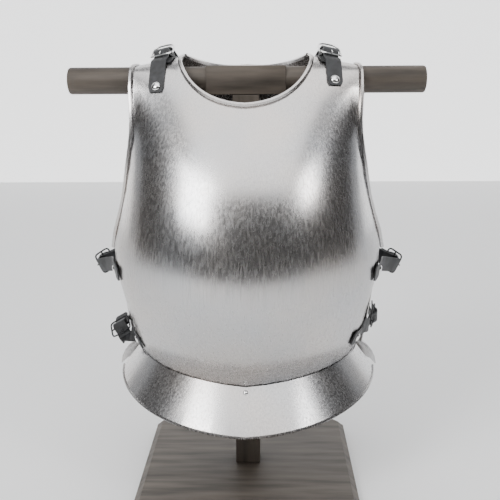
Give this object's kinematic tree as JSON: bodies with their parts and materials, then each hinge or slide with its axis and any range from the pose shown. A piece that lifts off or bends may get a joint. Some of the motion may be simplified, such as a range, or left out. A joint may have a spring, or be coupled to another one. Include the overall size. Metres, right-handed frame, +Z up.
{
  "type": "steel cuirass breastplate with backplate on wooden stand",
  "caption": "Polished steel cuirass with a keeled breastplate, a flared waist lame and a backplate, joined by buckled leather straps and hung on a wooden stand.",
  "frame": {"origin": "centre of the base board's underside", "axes": "+Z up, -Y the way the wearer's front faces, +X along the crossbar to the viewer's right"},
  "size_m": [0.51, 0.3435, 0.6623],
  "materials": {
    "breastplate": "polished, with brush marks",
    "waist_lame": "polished, with brush marks",
    "backplate": "polished, with brush marks",
    "waist_lame_rivet": "bright",
    "shoulder_strap_front_left": "black, smooth",
    "shoulder_strap_back_left": "black, smooth",
    "shoulder_buckle_loop_left": "black, smooth",
    "shoulder_buckle_left": "bright",
    "shoulder_prong_left": "bright",
    "shoulder_rivet_front_left": "bright",
    "shoulder_rivet_back_left": "bright",
    "side_upper_strap_front_left": "black, smooth",
    "side_upper_strap_back_left": "black, smooth",
    "side_upper_buckle_left": "black, half gloss",
    "side_upper_prong_left": "black, half gloss",
    "side_upper_rivet_front_left": "bright",
    "side_upper_rivet_back_left": "bright",
    "side_lower_strap_front_left": "black, smooth",
    "side_lower_strap_back_left": "black, smooth",
    "side_lower_buckle_left": "black, half gloss",
    "side_lower_prong_left": "black, half gloss",
    "side_lower_rivet_front_left": "bright",
    "side_lower_rivet_back_left": "bright",
    "shoulder_strap_front_right": "black, smooth",
    "shoulder_strap_back_right": "black, smooth",
    "shoulder_buckle_loop_right": "black, smooth",
    "shoulder_buckle_right": "bright",
    "shoulder_prong_right": "bright",
    "shoulder_rivet_front_right": "bright",
    "shoulder_rivet_back_right": "bright",
    "side_upper_strap_front_right": "black, smooth",
    "side_upper_strap_back_right": "black, smooth",
    "side_upper_buckle_right": "black, half gloss",
    "side_upper_prong_right": "black, half gloss",
    "side_upper_rivet_front_right": "bright",
    "side_upper_rivet_back_right": "bright",
    "side_lower_strap_front_right": "black, smooth",
    "side_lower_strap_back_right": "black, smooth",
    "side_lower_buckle_right": "black, half gloss",
    "side_lower_prong_right": "black, half gloss",
    "side_lower_rivet_front_right": "bright",
    "side_lower_rivet_back_right": "bright",
    "crossbar": "dark stain, low gloss",
    "post": "dark stain, low gloss",
    "base_board": "dark stain, low gloss"
  },
  "bodies": {
    "root": {"breastplate": "breastplate", "waist_lame": "waist_lame", "backplate": "backplate", "waist_lame_rivet": "waist_lame_rivet", "shoulder_strap_front_left": "shoulder_strap_front_left", "shoulder_strap_back_left": "shoulder_strap_back_left", "shoulder_buckle_loop_left": "shoulder_buckle_loop_left", "shoulder_buckle_left": "shoulder_buckle_left", "shoulder_prong_left": "shoulder_prong_left", "shoulder_rivet_front_left": "shoulder_rivet_front_left", "shoulder_rivet_back_left": "shoulder_rivet_back_left", "side_upper_strap_front_left": "side_upper_strap_front_left", "side_upper_strap_back_left": "side_upper_strap_back_left", "side_upper_buckle_left": "side_upper_buckle_left", "side_upper_prong_left": "side_upper_prong_left", "side_upper_rivet_front_left": "side_upper_rivet_front_left", "side_upper_rivet_back_left": "side_upper_rivet_back_left", "side_lower_strap_front_left": "side_lower_strap_front_left", "side_lower_strap_back_left": "side_lower_strap_back_left", "side_lower_buckle_left": "side_lower_buckle_left", "side_lower_prong_left": "side_lower_prong_left", "side_lower_rivet_front_left": "side_lower_rivet_front_left", "side_lower_rivet_back_left": "side_lower_rivet_back_left", "shoulder_strap_front_right": "shoulder_strap_front_right", "shoulder_strap_back_right": "shoulder_strap_back_right", "shoulder_buckle_loop_right": "shoulder_buckle_loop_right", "shoulder_buckle_right": "shoulder_buckle_right", "shoulder_prong_right": "shoulder_prong_right", "shoulder_rivet_front_right": "shoulder_rivet_front_right", "shoulder_rivet_back_right": "shoulder_rivet_back_right", "side_upper_strap_front_right": "side_upper_strap_front_right", "side_upper_strap_back_right": "side_upper_strap_back_right", "side_upper_buckle_right": "side_upper_buckle_right", "side_upper_prong_right": "side_upper_prong_right", "side_upper_rivet_front_right": "side_upper_rivet_front_right", "side_upper_rivet_back_right": "side_upper_rivet_back_right", "side_lower_strap_front_right": "side_lower_strap_front_right", "side_lower_strap_back_right": "side_lower_strap_back_right", "side_lower_buckle_right": "side_lower_buckle_right", "side_lower_prong_right": "side_lower_prong_right", "side_lower_rivet_front_right": "side_lower_rivet_front_right", "side_lower_rivet_back_right": "side_lower_rivet_back_right", "crossbar": "crossbar", "post": "post", "base_board": "base_board"}
  },
  "joints": []
}
